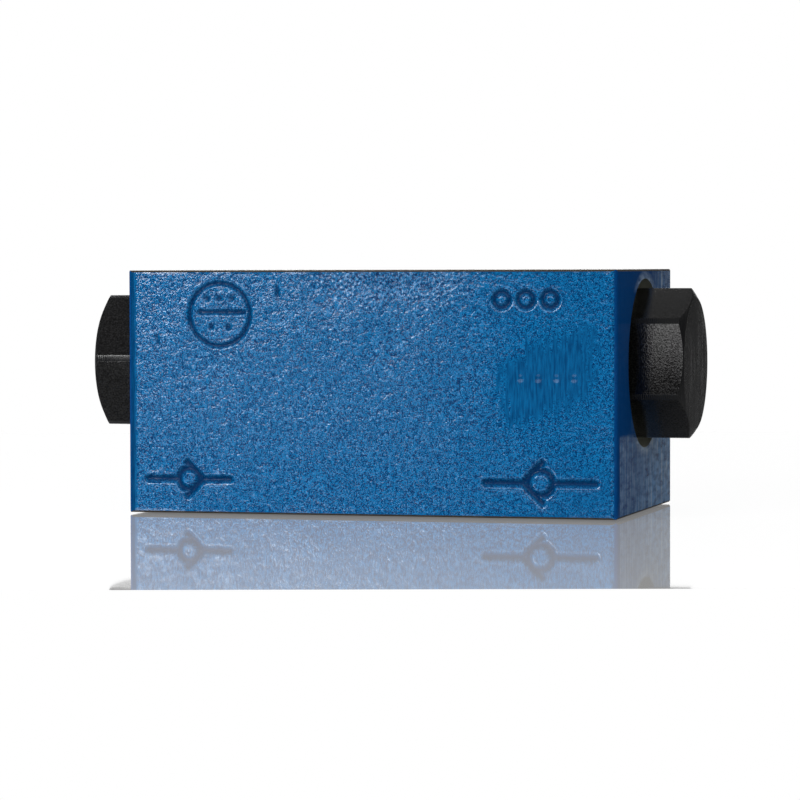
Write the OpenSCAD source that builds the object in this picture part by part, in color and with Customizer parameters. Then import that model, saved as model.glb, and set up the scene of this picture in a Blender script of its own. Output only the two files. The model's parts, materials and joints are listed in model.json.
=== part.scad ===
// Sandwich plate valve with two pilot-operated check valves, port pattern of size 03.
// The origin lies on the base, midway between ports A and B. X runs along the valve bore, Z up.

/* [Body] */
// Length of the body between its machined ends
body_length = 82.5; // [80:0.5:96]
// Width of the body between its cast sides
body_width = 46; // [44:0.5:60]
// Height of the body between its two mounting faces
body_height = 40; // [38:0.5:50]
// How far the middle of the body lies to the right of the port pattern's middle
body_shift = 0.9; // [0:0.1:2]
// Radius on the four upright edges
upright_round = 1; // [0.4:0.1:3]
// Chamfer on the edges of the top and the base
edge_chamfer = 0.3; // [0.1:0.05:1]
// Height of the valve bore's axis above the base
bore_height = 24.5; // [23:0.5:26]

/* [Port pattern] */
// Diameter of the four ports
port_d = 6.4; // [5:0.1:7]
// Distance between ports A and B
ab_spacing = 17.5; // [16:0.1:19]
// Distance between ports P and T
pt_spacing = 20.8; // [19:0.1:24]
// How far ports P and T lie to the right of the middle between A and B
pt_offset = 0.05; // [0:0.05:0.5]
// Diameter of the four bolt holes
bolt_hole_d = 5.5; // [5:0.1:6.5]
// Distance of the left bolt holes from the middle
left_bolt_x = 21.45; // [20.5:0.05:24]
// Distance of the right bolt holes from the middle
right_bolt_x = 19.05; // [18:0.05:22]
// Spacing of the two left bolt holes
left_bolt_spacing = 31; // [29:0.1:36]
// Spacing of the two right bolt holes
right_bolt_spacing = 32.5; // [30:0.1:36]
// How far up from the base the ports A and B go before they turn outwards
base_port_height = 8; // [7:0.5:10]
// Diameter of the slanting gallery from a base port to its check valve
gallery_d = 4.6; // [3:0.1:5]

/* [Port seals] */
// Diameter of the recess round each port in the base
seal_recess_d = 12.6; // [11.5:0.1:13.2]
// Depth of that recess, which is also the height of the seal when it is clamped
seal_recess_depth = 1.35; // [1:0.05:2]
// Thickness of a port seal between its inside and its outside
seal_wall = 1.5; // [1:0.05:2]
// Chamfer on the edges of a port seal
seal_chamfer = 0.25; // [0.1:0.05:0.4]

/* [Control spool] */
// Diameter of the spool bore
spool_d = 10; // [8:0.1:10.5]
// Length of the spool's land
spool_land = 15.2; // [12:0.1:17]
// Diameter of the rod that pushes the poppet
pusher_d = 5.2; // [4:0.1:6]
// Diameter of the pin that pushes the pilot ball
pin_d = 1.8; // [1:0.1:1.9]
// Travel of the spool from the middle until its pin meets a pilot ball
spool_travel = 2; // [1:0.1:3]
// Width of a pressure groove in the land
groove_width = 0.6; // [0.3:0.1:1]
// Depth of a pressure groove in the land
groove_depth = 0.5; // [0.2:0.1:1]
// Distance between neighbouring pressure grooves
groove_pitch = 2.4; // [1.5:0.1:3]

/* [Seat sleeve] */
// Diameter of the chamber between spool and sleeve
chamber_d = 13; // [12:0.1:14]
// Length of that chamber
chamber_length = 7.2; // [6.6:0.1:8]
// Diameter of the bore that holds the sleeve
sleeve_d = 16; // [15.5:0.1:16.6]
// Diameter of the sleeve's orifice, whose outer edge is the poppet's seat
orifice_d = 8; // [7:0.1:8.6]
// Length of the orifice
orifice_length = 3; // [2.8:0.1:4]
// Diameter of the bore that guides the poppet
guide_d = 12; // [11.4:0.1:12.6]
// Number of windows round the sleeve
window_count = 6; // [4:1:8]
// Diameter of a window
window_d = 3.4; // [2:0.1:3.8]
// Distance from the seat edge to the middle of the windows
window_offset = 3.6; // [3:0.1:4.4]
// Diameter of the ring groove in the body round the windows
ring_groove_d = 19.2; // [18:0.1:21]
// Length of that ring groove
ring_groove_length = 6.2; // [5:0.1:6.6]
// Section of the seal ring round the sleeve
sleeve_seal_d = 1.3; // [1:0.05:1.6]
// Spare length of the groove for that seal ring
sleeve_seal_slack = 0.4; // [0.2:0.05:0.6]
// Width of the sleeve's lip in front of that groove
sleeve_lip = 0.6; // [0.4:0.1:0.9]

/* [Poppet] */
// Diameter of the poppet's nose
nose_d = 6; // [5:0.1:6.6]
// Diameter of the poppet's waist behind the seat cone
waist_d = 9.6; // [9:0.1:10.4]
// Length of the waist
waist_length = 4.2; // [4:0.1:5]
// Lift of the poppet until its skirt meets the plug
poppet_lift = 3; // [2:0.1:3.2]
// Diameter of the hole through the nose that the pilot ball closes
pilot_hole_d = 2.2; // [2.1:0.05:2.8]
// Distance from the seat edge to the pilot ball's seat
pilot_seat_offset = 1.65; // [1.4:0.05:2]
// Diameter of the pilot ball
ball_d = 4; // [3.6:0.1:4.4]
// Lift of the pilot ball before the spool's rod meets the poppet
ball_lift = 1.2; // [0.6:0.1:1.4]
// Clearance round the ball in its chamber
ball_play = 0.3; // [0.2:0.05:0.4]
// How far the ball's chamber reaches past the ball
ball_chamber_over = 0.5; // [0.3:0.05:0.8]
// Diameter of the pocket that holds the spring
pocket_d = 8.4; // [8.2:0.1:9]
// Number of cross holes in the waist
cross_hole_count = 4; // [2:1:6]
// Diameter of a cross hole
cross_hole_d = 1.5; // [0.8:0.1:1.8]

/* [Spring] */
// Wire diameter
wire_d = 1; // [0.6:0.05:1.2]
// Number of turns, with the two closed end turns
spring_turns = 7.5; // [5:0.5:8]
// Thickness of the plate between ball and spring
plate_thickness = 1; // [0.8:0.1:1.4]
// Gap between the plate and the floor of the poppet's pocket
plate_gap = 0.2; // [0.1:0.05:0.4]
// Clearance round the plate in the poppet's pocket
plate_play = 0.4; // [0.2:0.05:0.6]
// Margin between the coil and the rim of the plate
plate_margin = 0.2; // [0:0.05:0.4]
// Gap between the turns that are closed
closed_turn_gap = 0.03; // [0.02:0.01:0.1]

/* [Screw plugs] */
// Size across the flats of the hexagon
hex_flats = 22; // [21:0.5:24]
// Diameter that the corners of the hexagon are turned to
hex_corner_d = 24.8; // [24:0.1:27]
// Height of the hexagon head above its seat
head_height = 10.8; // [8:0.1:14]
// Diameter of the flat disc at the end of the head
end_disc_d = 21.6; // [18:0.1:21.8]
// Slope of the chamfer round the end disc, in degrees
end_chamfer_slope = 30; // [15:1:40]
// Diameter of the turned washer face under the hexagon
washer_face_d = 21.6; // [21:0.1:22]
// Height of the washer face
washer_face_height = 0.5; // [0.3:0.1:1]
// Turn of the left plug about its axis, in degrees
left_plug_turn = -27; // [-30:1:30]
// Turn of the right plug about its axis, in degrees
right_plug_turn = -5; // [-30:1:30]
// Gap between the hexagon's corners and the wall of the spot face
spot_gap = 1.6; // [1:0.1:3]
// Depth of the spot face in the left end, the shallower of the two
spot_depth = 0.5; // [0.3:0.1:1.5]
// Diameter of the threaded hole, a fine thread drawn as a plain fit
thread_d = 18; // [17.5:0.1:18.6]
// Length of the plug's shank below its seat
shank_length = 11.45; // [10.6:0.05:12]
// Depth of the spring pocket in the plug
plug_pocket_depth = 8; // [7:0.1:9]
// Clearance round the spring plate in that pocket
plug_pocket_play = 0.6; // [0.4:0.05:1]
// Section of the seal ring under the head
plug_seal_d = 2.2; // [1.8:0.1:2.4]
// Diameter of the undercut that the seal ring sits on
undercut_d = 15.2; // [14.6:0.1:15.6]
// Chamfer at the inner end of the shank
shank_chamfer = 0.8; // [0.4:0.1:0.9]

/* [Fits] */
// Radial clearance of pieces that slide
running_clearance = 0.02; // [0.01:0.005:0.05]
// Radial clearance of pieces that are clamped or screwed in
static_clearance = 0.04; // [0.02:0.01:0.08]
// Gap that stands for metal touching metal between moving pieces
contact_gap = 0.02; // [0.01:0.01:0.05]
// Clearance round seal rings
seal_clearance = 0.05; // [0.03:0.01:0.1]

/* [Hidden] */
$fn = 96;

left = -1;
right = 1;
cut_over = 1;
arc_steps = 6;

// Places along the bore, as distances from the middle on either side
chamber_start = (ab_spacing - chamber_length) / 2;
chamber_end = chamber_start + chamber_length;
seat_edge = chamber_end + orifice_length;
window_mid = seat_edge + window_offset;
plug_seat = body_length / 2 - body_shift - spot_depth;
plug_inner_end = plug_seat - shank_length;
sleeve_bore_end = plug_inner_end - static_clearance - shank_chamfer;
plug_seal_start = plug_seat - plug_seal_d - 2 * seal_clearance;
plug_pocket_end = plug_inner_end + plug_pocket_depth;
plug_end = plug_seat + head_height;

// The sleeve's seal groove
sleeve_groove_length = sleeve_seal_d + sleeve_seal_slack;
sleeve_groove_start = chamber_end + sleeve_lip;
sleeve_groove_r = sleeve_d / 2 - sleeve_seal_d - 2 * seal_clearance;

// The poppet closes on the seat edge with a cone of 45 degrees
poppet_nose = seat_edge + contact_gap - (orifice_d - nose_d) / 2;
waist_start = seat_edge + contact_gap + (waist_d - orifice_d) / 2;
waist_end = waist_start + waist_length;
poppet_r = guide_d / 2 - running_clearance;
skirt_start = waist_end + poppet_r - waist_d / 2;
skirt_end = plug_inner_end - poppet_lift - contact_gap;

// The pilot ball rests on the edge of the hole through the nose
ball_seat = seat_edge + pilot_seat_offset;
ball_r = ball_d / 2;
ball_mid = ball_seat + sqrt(pow(ball_r + contact_gap, 2) - pow(pilot_hole_d / 2, 2));
ball_chamber_d = ball_d + 2 * ball_play;
ball_chamber_end = ball_mid + ball_r + ball_chamber_over;
stem_d = ball_d - ball_play;
stem_start = ball_mid + ball_r + contact_gap;
plate_start = ball_chamber_end + plate_gap;
plate_d = pocket_d - 2 * plate_play;
spring_start = plate_start + plate_thickness + contact_gap;
spring_end = plug_pocket_end - contact_gap;
spring_mean_r = (plate_d - wire_d) / 2 - plate_margin;
plug_pocket_d = plate_d + 2 * plug_pocket_play;

// The spool's pin stops short of the ball and its rod short of the poppet's nose
pin_end = ball_mid - ball_r - spool_travel;
pusher_end = poppet_nose - spool_travel - ball_lift - contact_gap;

// The coil of the spring, with a closed turn at each end
coil_sides = 8;
coil_steps_per_turn = 16;
coil_steps = round(spring_turns * coil_steps_per_turn);
closed_pitch = wire_d + closed_turn_gap;
coil_rise_total = spring_end - spring_start - wire_d;
open_pitch = (coil_rise_total - 2 * closed_pitch) / (spring_turns - 2);

port_places = [
    [pt_offset, pt_spacing / 2],
    [-ab_spacing / 2, 0],
    [ab_spacing / 2, 0],
    [pt_offset, -pt_spacing / 2]
];
bolt_places = [
    for (side = [-1, 1]) [-left_bolt_x, side * left_bolt_spacing / 2],
    for (side = [-1, 1]) [right_bolt_x, side * right_bolt_spacing / 2]
];

paint_blue = "#1d5a9a";
black_steel = "#2b2b2d";
bright_steel = "#a9adb2";
spring_steel = "#7f858c";
seal_rubber = "#1a1a1a";

// Outline of a rectangle with round corners
function rounded_rect(l, w, r) = [
    for (corner = [0:3], i = [0:arc_steps])
        let (
            a = 90 * (corner + i / arc_steps),
            sx = corner == 0 || corner == 3 ? 1 : -1,
            sy = corner < 2 ? 1 : -1
        )
        [sx * (l / 2 - r) + r * cos(a), sy * (w / 2 - r) + r * sin(a)]
];

// Outline of a rectangle that stands on its lower edge, with chamfered corners
function chamfered_rect(l, h, c) = [
    [c - l / 2, 0], [l / 2 - c, 0], [l / 2, c], [l / 2, h - c],
    [l / 2 - c, h], [c - l / 2, h], [-l / 2, h - c], [-l / 2, c]
];

// Puts pieces drawn along Z onto the bore's axis, on the left or the right side
module on_side(side) {
    translate([0, 0, bore_height])
        rotate([0, 90, side == left ? 180 : 0])
            children();
}

// A turned solid from its outline of radius and distance
module turned(outline) {
    rotate_extrude()
        polygon(outline);
}

module seal_ring(mean_r, section_d, distance) {
    translate([0, 0, distance])
        rotate_extrude()
            translate([mean_r, 0])
                circle(d = section_d);
}

// The block: three prisms whose common space has round upright edges and chamfered faces
module block() {
    translate([body_shift, 0, 0])
        intersection() {
            linear_extrude(body_height)
                polygon(rounded_rect(body_length, body_width, upright_round));
            rotate([90, 0, 0])
                linear_extrude(body_width + 2 * cut_over, center = true)
                    polygon(chamfered_rect(body_length, body_height, edge_chamfer));
            rotate([90, 0, 90])
                linear_extrude(body_length + 2 * cut_over, center = true)
                    polygon(chamfered_rect(body_width, body_height, edge_chamfer));
        }
}

// The stepped space of the valve bore from the middle out through one end
module bore_space() {
    mouth_r = undercut_d / 2 + plug_seal_d + 2 * seal_clearance;
    spot_r = hex_corner_d / 2 + spot_gap;
    outside = plug_seat + body_length;
    turned([
        [0, -cut_over],
        [spool_d / 2, -cut_over],
        [spool_d / 2, chamber_start],
        [chamber_d / 2, chamber_start],
        [chamber_d / 2, chamber_end],
        [sleeve_d / 2, chamber_end],
        [sleeve_d / 2, sleeve_bore_end],
        [thread_d / 2, sleeve_bore_end],
        [thread_d / 2, plug_seal_start],
        [mouth_r, plug_seal_start],
        [mouth_r, plug_seat],
        [spot_r, plug_seat],
        [spot_r, outside],
        [0, outside]
    ]);
    translate([0, 0, window_mid - ring_groove_length / 2])
        cylinder(h = ring_groove_length, d = ring_groove_d);
}

// The way from a base port up and outwards to the ring groove round the sleeve
module gallery(side) {
    foot = [side * ab_spacing / 2, 0, base_port_height - port_d / 2];
    head = [side * window_mid, 0, bore_height - sleeve_d / 2];
    rise = head - foot;
    translate(foot)
        rotate([0, atan2(rise[0], rise[2]), 0])
            cylinder(h = norm(rise), d = gallery_d);
}

module ports() {
    for (place = port_places) {
        cross = place[1] == 0;
        translate([place[0], place[1], -cut_over]) {
            cylinder(h = cut_over + seal_recess_depth, d = seal_recess_d);
            cylinder(h = cut_over + (cross ? base_port_height : body_height + cut_over), d = port_d);
        }
        if (cross)
            translate([place[0], 0, bore_height])
                cylinder(h = body_height - bore_height + cut_over, d = port_d);
    }
}

module housing() {
    color(paint_blue)
        difference() {
            block();
            for (side = [left, right]) {
                on_side(side) bore_space();
                gallery(side);
            }
            ports();
            for (place = bolt_places)
                translate([place[0], place[1], -cut_over])
                    cylinder(h = body_height + 2 * cut_over, d = bolt_hole_d);
        }
}

// One half of the spool; the other is its mirror image
module spool_half() {
    land_r = spool_d / 2 - running_clearance;
    half_land = spool_land / 2;
    turned([
        [0, 0],
        [land_r - groove_depth, 0],
        [land_r - groove_depth, groove_width / 2],
        [land_r, groove_width / 2],
        [land_r, groove_pitch - groove_width / 2],
        [land_r - groove_depth, groove_pitch - groove_width / 2],
        [land_r - groove_depth, groove_pitch + groove_width / 2],
        [land_r, groove_pitch + groove_width / 2],
        [land_r, half_land - groove_depth],
        [land_r - groove_depth, half_land],
        [pusher_d / 2, half_land],
        [pusher_d / 2, pusher_end],
        [pin_d / 2, pusher_end],
        [pin_d / 2, pin_end],
        [0, pin_end]
    ]);
}

module control_spool() {
    color(bright_steel)
        for (side = [left, right])
            on_side(side) spool_half();
}

// The head's hexagon inside the turned form that gives its round corners and end chamfer
module plug_head(turn) {
    chamfer_height = (hex_corner_d - end_disc_d) / 2 * tan(end_chamfer_slope);
    intersection() {
        translate([0, 0, plug_seat])
            rotate([0, 0, turn])
                cylinder(h = head_height, d = hex_flats / cos(30), $fn = 6);
        turned([
            [0, plug_seat],
            [washer_face_d / 2, plug_seat],
            [washer_face_d / 2, plug_seat + washer_face_height],
            [hex_corner_d / 2, plug_seat + washer_face_height],
            [hex_corner_d / 2, plug_end - chamfer_height],
            [end_disc_d / 2, plug_end],
            [0, plug_end]
        ]);
    }
}

module screw_plug(side, turn) {
    thread_r = thread_d / 2 - static_clearance;
    color(black_steel)
        on_side(side)
            difference() {
                union() {
                    plug_head(turn);
                    turned([
                        [0, plug_inner_end],
                        [thread_r - shank_chamfer, plug_inner_end],
                        [thread_r, plug_inner_end + shank_chamfer],
                        [thread_r, plug_seal_start],
                        [undercut_d / 2, plug_seal_start],
                        [undercut_d / 2, plug_seat + washer_face_height],
                        [0, plug_seat + washer_face_height]
                    ]);
                }
                translate([0, 0, plug_inner_end - cut_over])
                    cylinder(h = plug_pocket_depth + cut_over, d = plug_pocket_d);
            }
}

module plug_seal(side) {
    color(seal_rubber)
        on_side(side)
            seal_ring(
                undercut_d / 2 + seal_clearance + plug_seal_d / 2,
                plug_seal_d,
                plug_seat - seal_clearance - plug_seal_d / 2
            );
}

module seat_sleeve(side) {
    sleeve_r = sleeve_d / 2 - static_clearance;
    groove_end = sleeve_groove_start + sleeve_groove_length;
    color(bright_steel)
        on_side(side)
            difference() {
                turned([
                    [orifice_d / 2, chamber_end],
                    [sleeve_r, chamber_end],
                    [sleeve_r, sleeve_groove_start],
                    [sleeve_groove_r, sleeve_groove_start],
                    [sleeve_groove_r, groove_end],
                    [sleeve_r, groove_end],
                    [sleeve_r, plug_inner_end],
                    [guide_d / 2, plug_inner_end],
                    [guide_d / 2, seat_edge],
                    [orifice_d / 2, seat_edge]
                ]);
                for (i = [0:window_count - 1])
                    translate([0, 0, window_mid])
                        rotate([90, 0, 360 * (i + 0.5) / window_count])
                            cylinder(h = sleeve_d, d = window_d);
            }
}

module sleeve_seal(side) {
    color(seal_rubber)
        on_side(side)
            seal_ring(
                sleeve_groove_r + seal_clearance + sleeve_seal_d / 2,
                sleeve_seal_d,
                sleeve_groove_start + sleeve_groove_length / 2
            );
}

module poppet(side) {
    color(bright_steel)
        on_side(side)
            difference() {
                turned([
                    [pilot_hole_d / 2, poppet_nose],
                    [nose_d / 2, poppet_nose],
                    [waist_d / 2, waist_start],
                    [waist_d / 2, waist_end],
                    [poppet_r, skirt_start],
                    [poppet_r, skirt_end],
                    [pocket_d / 2, skirt_end],
                    [pocket_d / 2, ball_chamber_end],
                    [ball_chamber_d / 2, ball_chamber_end],
                    [ball_chamber_d / 2, ball_seat],
                    [pilot_hole_d / 2, ball_seat]
                ]);
                for (i = [0:cross_hole_count - 1])
                    translate([0, 0, ball_mid])
                        rotate([90, 0, 360 * i / cross_hole_count])
                            cylinder(h = waist_d, d = cross_hole_d);
            }
}

module pilot_ball(side) {
    color(bright_steel)
        on_side(side)
            translate([0, 0, ball_mid])
                sphere(d = ball_d);
}

module spring_plate(side) {
    color(bright_steel)
        on_side(side)
            turned([
                [0, stem_start],
                [stem_d / 2, stem_start],
                [stem_d / 2, plate_start],
                [plate_d / 2, plate_start],
                [plate_d / 2, plate_start + plate_thickness],
                [0, plate_start + plate_thickness]
            ]);
}

// Rise of the coil after a number of turns
function coil_rise(turn) =
    turn < 1 ? turn * closed_pitch
    : turn > spring_turns - 1 ? coil_rise_total - (spring_turns - turn) * closed_pitch
    : closed_pitch + (turn - 1) * open_pitch;

// A point on the wire's skin, at one side of one step along the coil
function coil_point(step, side) =
    let (
        turn = step / coil_steps_per_turn,
        around = 360 * side / coil_sides,
        r = spring_mean_r + wire_d / 2 * cos(around)
    )
    [
        r * cos(360 * turn),
        r * sin(360 * turn),
        spring_start + wire_d / 2 + coil_rise(turn) + wire_d / 2 * sin(around)
    ];

module coil() {
    last = coil_sides - 1;
    points = [for (step = [0:coil_steps], side = [0:last]) coil_point(step, side)];
    function id(step, side) = step * coil_sides + side % coil_sides;
    skin = [
        for (step = [0:coil_steps - 1], side = [0:last], half = [0, 1])
            half == 0
                ? [id(step, side), id(step, side + 1), id(step + 1, side + 1)]
                : [id(step, side), id(step + 1, side + 1), id(step + 1, side)]
    ];
    ends = [
        [for (side = [last:-1:0]) id(0, side)],
        [for (side = [0:last]) id(coil_steps, side)]
    ];
    polyhedron(points, concat(skin, ends));
}

module spring(side) {
    color(spring_steel)
        on_side(side)
            coil();
}

// A square port seal with chamfered edges, clamped to the depth of its recess
module port_seal(place) {
    outer = seal_recess_d / 2 - seal_clearance;
    inner = outer - seal_wall;
    top = seal_recess_depth - seal_clearance;
    c = seal_chamfer;
    color(seal_rubber)
        translate([place[0], place[1], 0])
            turned([
                [inner + c, 0], [outer - c, 0], [outer, c], [outer, top - c],
                [outer - c, top], [inner + c, top], [inner, top - c], [inner, c]
            ]);
}

housing();
control_spool();
screw_plug(left, left_plug_turn);  // left_plug
plug_seal(left);  // left_plug_seal
seat_sleeve(left);  // left_seat_sleeve
sleeve_seal(left);  // left_sleeve_seal
poppet(left);  // left_poppet
pilot_ball(left);  // left_pilot_ball
spring_plate(left);  // left_spring_plate
spring(left);  // left_spring
screw_plug(right, right_plug_turn);  // right_plug
plug_seal(right);  // right_plug_seal
seat_sleeve(right);  // right_seat_sleeve
sleeve_seal(right);  // right_sleeve_seal
poppet(right);  // right_poppet
pilot_ball(right);  // right_pilot_ball
spring_plate(right);  // right_spring_plate
spring(right);  // right_spring
port_seal(port_places[0]);  // p_port_seal
port_seal(port_places[1]);  // a_port_seal
port_seal(port_places[2]);  // b_port_seal
port_seal(port_places[3]);  // t_port_seal
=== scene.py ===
"""Looks of a hydraulic sandwich plate valve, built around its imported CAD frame.

The block is a sand casting in blue enamel. Its ends are milled, its two mounting faces ground, and the
plugs in its ends are turned from phosphated hexagon bar. Lengths that a maker would name are in
millimetres; Blender gets metres.
"""

from __future__ import annotations

import json
import logging
import math
from collections.abc import Callable, Sequence
from dataclasses import dataclass, field
from enum import Enum, IntEnum
from functools import partial
from typing import Any

import bmesh
import bpy
import numpy as np
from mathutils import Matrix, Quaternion, Vector

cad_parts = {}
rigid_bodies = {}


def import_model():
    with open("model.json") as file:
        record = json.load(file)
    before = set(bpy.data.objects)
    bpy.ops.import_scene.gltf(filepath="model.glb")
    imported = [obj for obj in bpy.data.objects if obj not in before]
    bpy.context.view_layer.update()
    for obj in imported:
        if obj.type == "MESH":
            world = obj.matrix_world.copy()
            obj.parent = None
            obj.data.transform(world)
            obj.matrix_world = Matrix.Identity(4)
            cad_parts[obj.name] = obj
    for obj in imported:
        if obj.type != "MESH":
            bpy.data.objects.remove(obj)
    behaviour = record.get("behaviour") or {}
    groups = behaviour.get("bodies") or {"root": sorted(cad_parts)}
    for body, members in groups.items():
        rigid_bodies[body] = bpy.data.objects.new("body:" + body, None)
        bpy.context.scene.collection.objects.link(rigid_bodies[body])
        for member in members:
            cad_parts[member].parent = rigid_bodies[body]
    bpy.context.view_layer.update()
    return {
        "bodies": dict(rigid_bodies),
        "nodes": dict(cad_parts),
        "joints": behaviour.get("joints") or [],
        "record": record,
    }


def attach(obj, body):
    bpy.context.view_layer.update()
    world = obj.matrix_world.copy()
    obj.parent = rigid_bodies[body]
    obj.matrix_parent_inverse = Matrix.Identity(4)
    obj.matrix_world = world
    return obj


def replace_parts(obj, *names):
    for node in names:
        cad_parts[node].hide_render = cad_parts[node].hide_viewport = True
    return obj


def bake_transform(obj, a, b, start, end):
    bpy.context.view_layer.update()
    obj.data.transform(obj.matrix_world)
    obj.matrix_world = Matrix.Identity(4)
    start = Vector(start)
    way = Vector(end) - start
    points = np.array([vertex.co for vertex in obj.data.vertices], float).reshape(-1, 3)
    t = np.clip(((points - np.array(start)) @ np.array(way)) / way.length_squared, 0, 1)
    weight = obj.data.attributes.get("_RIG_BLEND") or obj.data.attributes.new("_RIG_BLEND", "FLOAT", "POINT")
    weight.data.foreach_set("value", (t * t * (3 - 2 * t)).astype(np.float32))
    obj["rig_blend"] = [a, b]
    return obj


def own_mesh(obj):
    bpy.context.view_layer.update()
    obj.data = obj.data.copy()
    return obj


MM = 0.001
# Points that lie closer together than this, in metres, are one point.
SAME_PLACE = 1e-6
# Height of the bore's axis over the base.
AXIS_Z_MM = 24.5
# Radius of the ball in the symbol for a check valve, as a share of the seat's height.
BALL_SHARE = 0.32
LOG = logging.getLogger("sandwich_valve")

Point = tuple[float, float]
Triple = tuple[float, float, float]
Node = bpy.types.Node
Tree = bpy.types.NodeTree
Object = bpy.types.Object
Mesh = bmesh.types.BMesh
Grid = np.ndarray
Inputs = Sequence[Any] | dict[str | int, Any]
Adder = Callable[..., Node]


class BodyName(str, Enum):
    """Bodies of the frame that whole pieces of this script ride on."""

    HOUSING = "housing_body"


class Side(str, Enum):
    """The words for the block's two ends in the frame's names."""

    LEFT = "left"
    RIGHT = "right"

    @property
    def outward(self) -> int:
        """1 if the end lies towards +X, or -1."""
        return 1 if self is Side.RIGHT else -1


class LampShape(str, Enum):
    """Outlines of a studio lamp."""

    BOX = "RECTANGLE"
    ROUND = "DISK"


class SlotName(str, Enum):
    """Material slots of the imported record."""

    PAINT = "paint"
    BLACK_STEEL = "black_steel"
    HARD_STEEL = "hard_steel"
    SPRING_STEEL = "spring_steel"
    SEAL = "seal"


class HousingFace(IntEnum):
    """Material indices on the housing."""

    CAST = 0
    MILLED = 1
    BARE = 2
    SPOT = 3


class PlugFace(IntEnum):
    """Material indices on a screw plug."""

    FLAT = 0
    TURNED = 1


def srgb(code: str) -> tuple[float, float, float, float]:
    """Turns a hex colour, as seen on a screen, into the linear values of a shader.

    Args:
        code: Six hex digits after a hash sign.

    Returns:
        Linear red, green and blue, and an alpha of 1.
    """
    parts = [int(code[i : i + 2], 16) / 255 for i in (1, 3, 5)]
    red, green, blue = (c / 12.92 if c <= 0.04045 else ((c + 0.055) / 1.055) ** 2.4 for c in parts)
    return red, green, blue, 1.0


def add_node(tree: Tree, kind: str, inputs: Inputs = (), **settings: Any) -> Node:
    """Adds a node, sets its fields and fills its sockets.

    Args:
        tree: Node tree that gets the node.
        kind: Blender's identifier of the node type, without the word ShaderNode.
        inputs: In the sockets' order, or by socket name or number: a constant, an output socket to link,
            or a node, which stands for its first output in use.
        **settings: Fields of the node itself.

    Returns:
        The new node.
    """
    node = tree.nodes.new(f"ShaderNode{kind}")
    for name, value in settings.items():
        setattr(node, name, value)
    for key, value in inputs.items() if isinstance(inputs, dict) else enumerate(inputs):
        if isinstance(value, Node):
            value = next(socket for socket in value.outputs if socket.enabled)
        if isinstance(value, bpy.types.NodeSocket):
            tree.links.new(value, node.inputs[key])
        else:
            node.inputs[key].default_value = value
    return node


def millimetres(add: Adder, stretch: Triple = (1, 1, 1), centre: Triple = (0, 0, 0)) -> Node:
    """Gives the place on the object in millimetres, so that a pattern's scale is one over its real size.

    Args:
        add: The function add_node, bound to the material's tree.
        stretch: Factors along X, Y and Z that draw a pattern out or press it together.
        centre: Point in millimetres that becomes the pattern's origin.

    Returns:
        The node that gives the vector.
    """
    place = add("TexCoord").outputs["Object"]
    scaled = add("VectorMath", (place, (1 / MM,) * 3), operation="MULTIPLY")
    moved = add("VectorMath", (scaled, centre), operation="SUBTRACT")
    return add("VectorMath", (moved, stretch), operation="MULTIPLY")


def smoothstep(low: float, high: float, value: Grid) -> Grid:
    """Rises smoothly from 0 at low to 1 at high."""
    t = np.clip((value - low) / (high - low), 0, 1)
    return t * t * (3 - 2 * t)


def band_noise(
    shape: tuple[int, int], pitch: float, wave: float, spread: float, seed: int, stretch: float = 1.0
) -> Grid:
    """Makes a random relief whose waves are all about one length.

    Args:
        shape: Rows and columns of the grid.
        pitch: Distance of the grid's points in millimetres.
        wave: Middle wavelength in millimetres.
        spread: Width of the band as a share of its middle frequency.
        seed: Start of the random numbers.
        stretch: How many times longer the waves are down the columns.

    Returns:
        Heights with a mean of 0 and a standard deviation of 1.
    """
    rows = np.fft.fftfreq(shape[0], pitch)[:, None]
    columns = np.fft.fftfreq(shape[1], pitch)[None, :]
    share = np.hypot(rows * stretch, columns) * wave
    white = np.random.default_rng(seed).normal(size=shape)
    made = np.fft.ifft2(np.fft.fft2(white) * np.exp(-(((share - 1) / spread) ** 2))).real
    return (made - made.mean()) / made.std()


def put(name: str, data: bpy.types.ID) -> Object:
    """Makes an object of its data and puts it into the scene."""
    made = bpy.data.objects.new(name, data)
    bpy.context.scene.collection.objects.link(made)
    return made


def from_front(azimuth: float, elevation: float) -> Vector:
    """Direction from the block to a place, in degrees from the front to the right and above the board."""
    turn, rise = math.radians(azimuth), math.radians(elevation)
    return Vector((math.sin(turn) * math.cos(rise), -math.cos(turn) * math.cos(rise), math.sin(rise)))


def aim(item: Object, place: Vector, ahead: Vector, roll: float = 0.0) -> None:
    """Puts a lamp or a camera in its place and turns it.

    Args:
        item: The lamp or camera.
        place: Its place in metres.
        ahead: Where it looks.
        roll: Degrees of turn about its own axis.
    """
    item.location = place
    item.rotation_mode = "QUATERNION"
    item.rotation_quaternion = ahead.to_track_quat("-Z", "Y") @ Quaternion((0, 0, 1), math.radians(roll))


def mesh_of(node: Object) -> Mesh:
    """Copies a CAD node's mesh for editing, with its doubled points joined."""
    mesh = bmesh.new()
    mesh.from_mesh(node.data)
    bmesh.ops.remove_doubles(mesh, verts=mesh.verts[:], dist=SAME_PLACE)
    return mesh


def piece_from(mesh: Mesh, name: str, node: Object) -> Object:
    """Makes a piece of an edited mesh, frees the mesh and hides the CAD node that the piece stands for.

    Args:
        mesh: The edited mesh.
        name: Name of the piece.
        node: The CAD node.

    Returns:
        The piece.
    """
    data = bpy.data.meshes.new(name)
    mesh.to_mesh(data)
    mesh.free()
    piece = put(name, data)
    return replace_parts(piece, node.name)


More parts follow.
